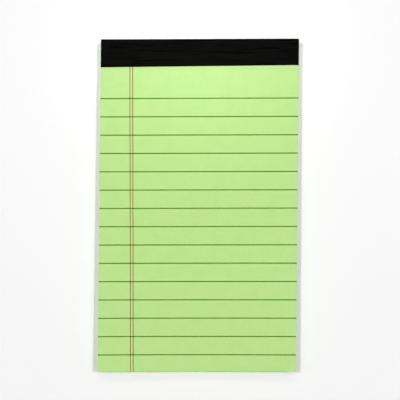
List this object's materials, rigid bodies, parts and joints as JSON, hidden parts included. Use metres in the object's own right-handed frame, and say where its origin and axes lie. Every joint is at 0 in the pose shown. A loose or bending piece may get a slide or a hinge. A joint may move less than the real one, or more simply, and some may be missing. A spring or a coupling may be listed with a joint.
{
  "type": "tear-off memo pad",
  "caption": "Small top-bound memo pad of pale green ruled sheets with a double margin line, a chipboard back and a black binding tape folded over the head.",
  "frame": {"origin": "under the middle of the pad's outline, on the surface that it lies on", "axes": "+Y towards the taped head, +X towards the right side of the page, +Z out of the top sheet"},
  "size_m": [0.0772, 0.1272, 0.0066],
  "materials": {
    "paper_green": "matte",
    "ink_green": "matte",
    "ink_brown": "matte",
    "chipboard_grey": "matte",
    "tape_black": "satin",
    "staple_wire": "satin"
  },
  "bodies": {
    "root": {"page_block": "paper_green", "ruled_lines": "ink_green", "margin_lines": "ink_brown", "back_board": "chipboard_grey", "binding_tape": "tape_black", "staple_left": "staple_wire", "staple_right": "staple_wire"}
  },
  "joints": []
}
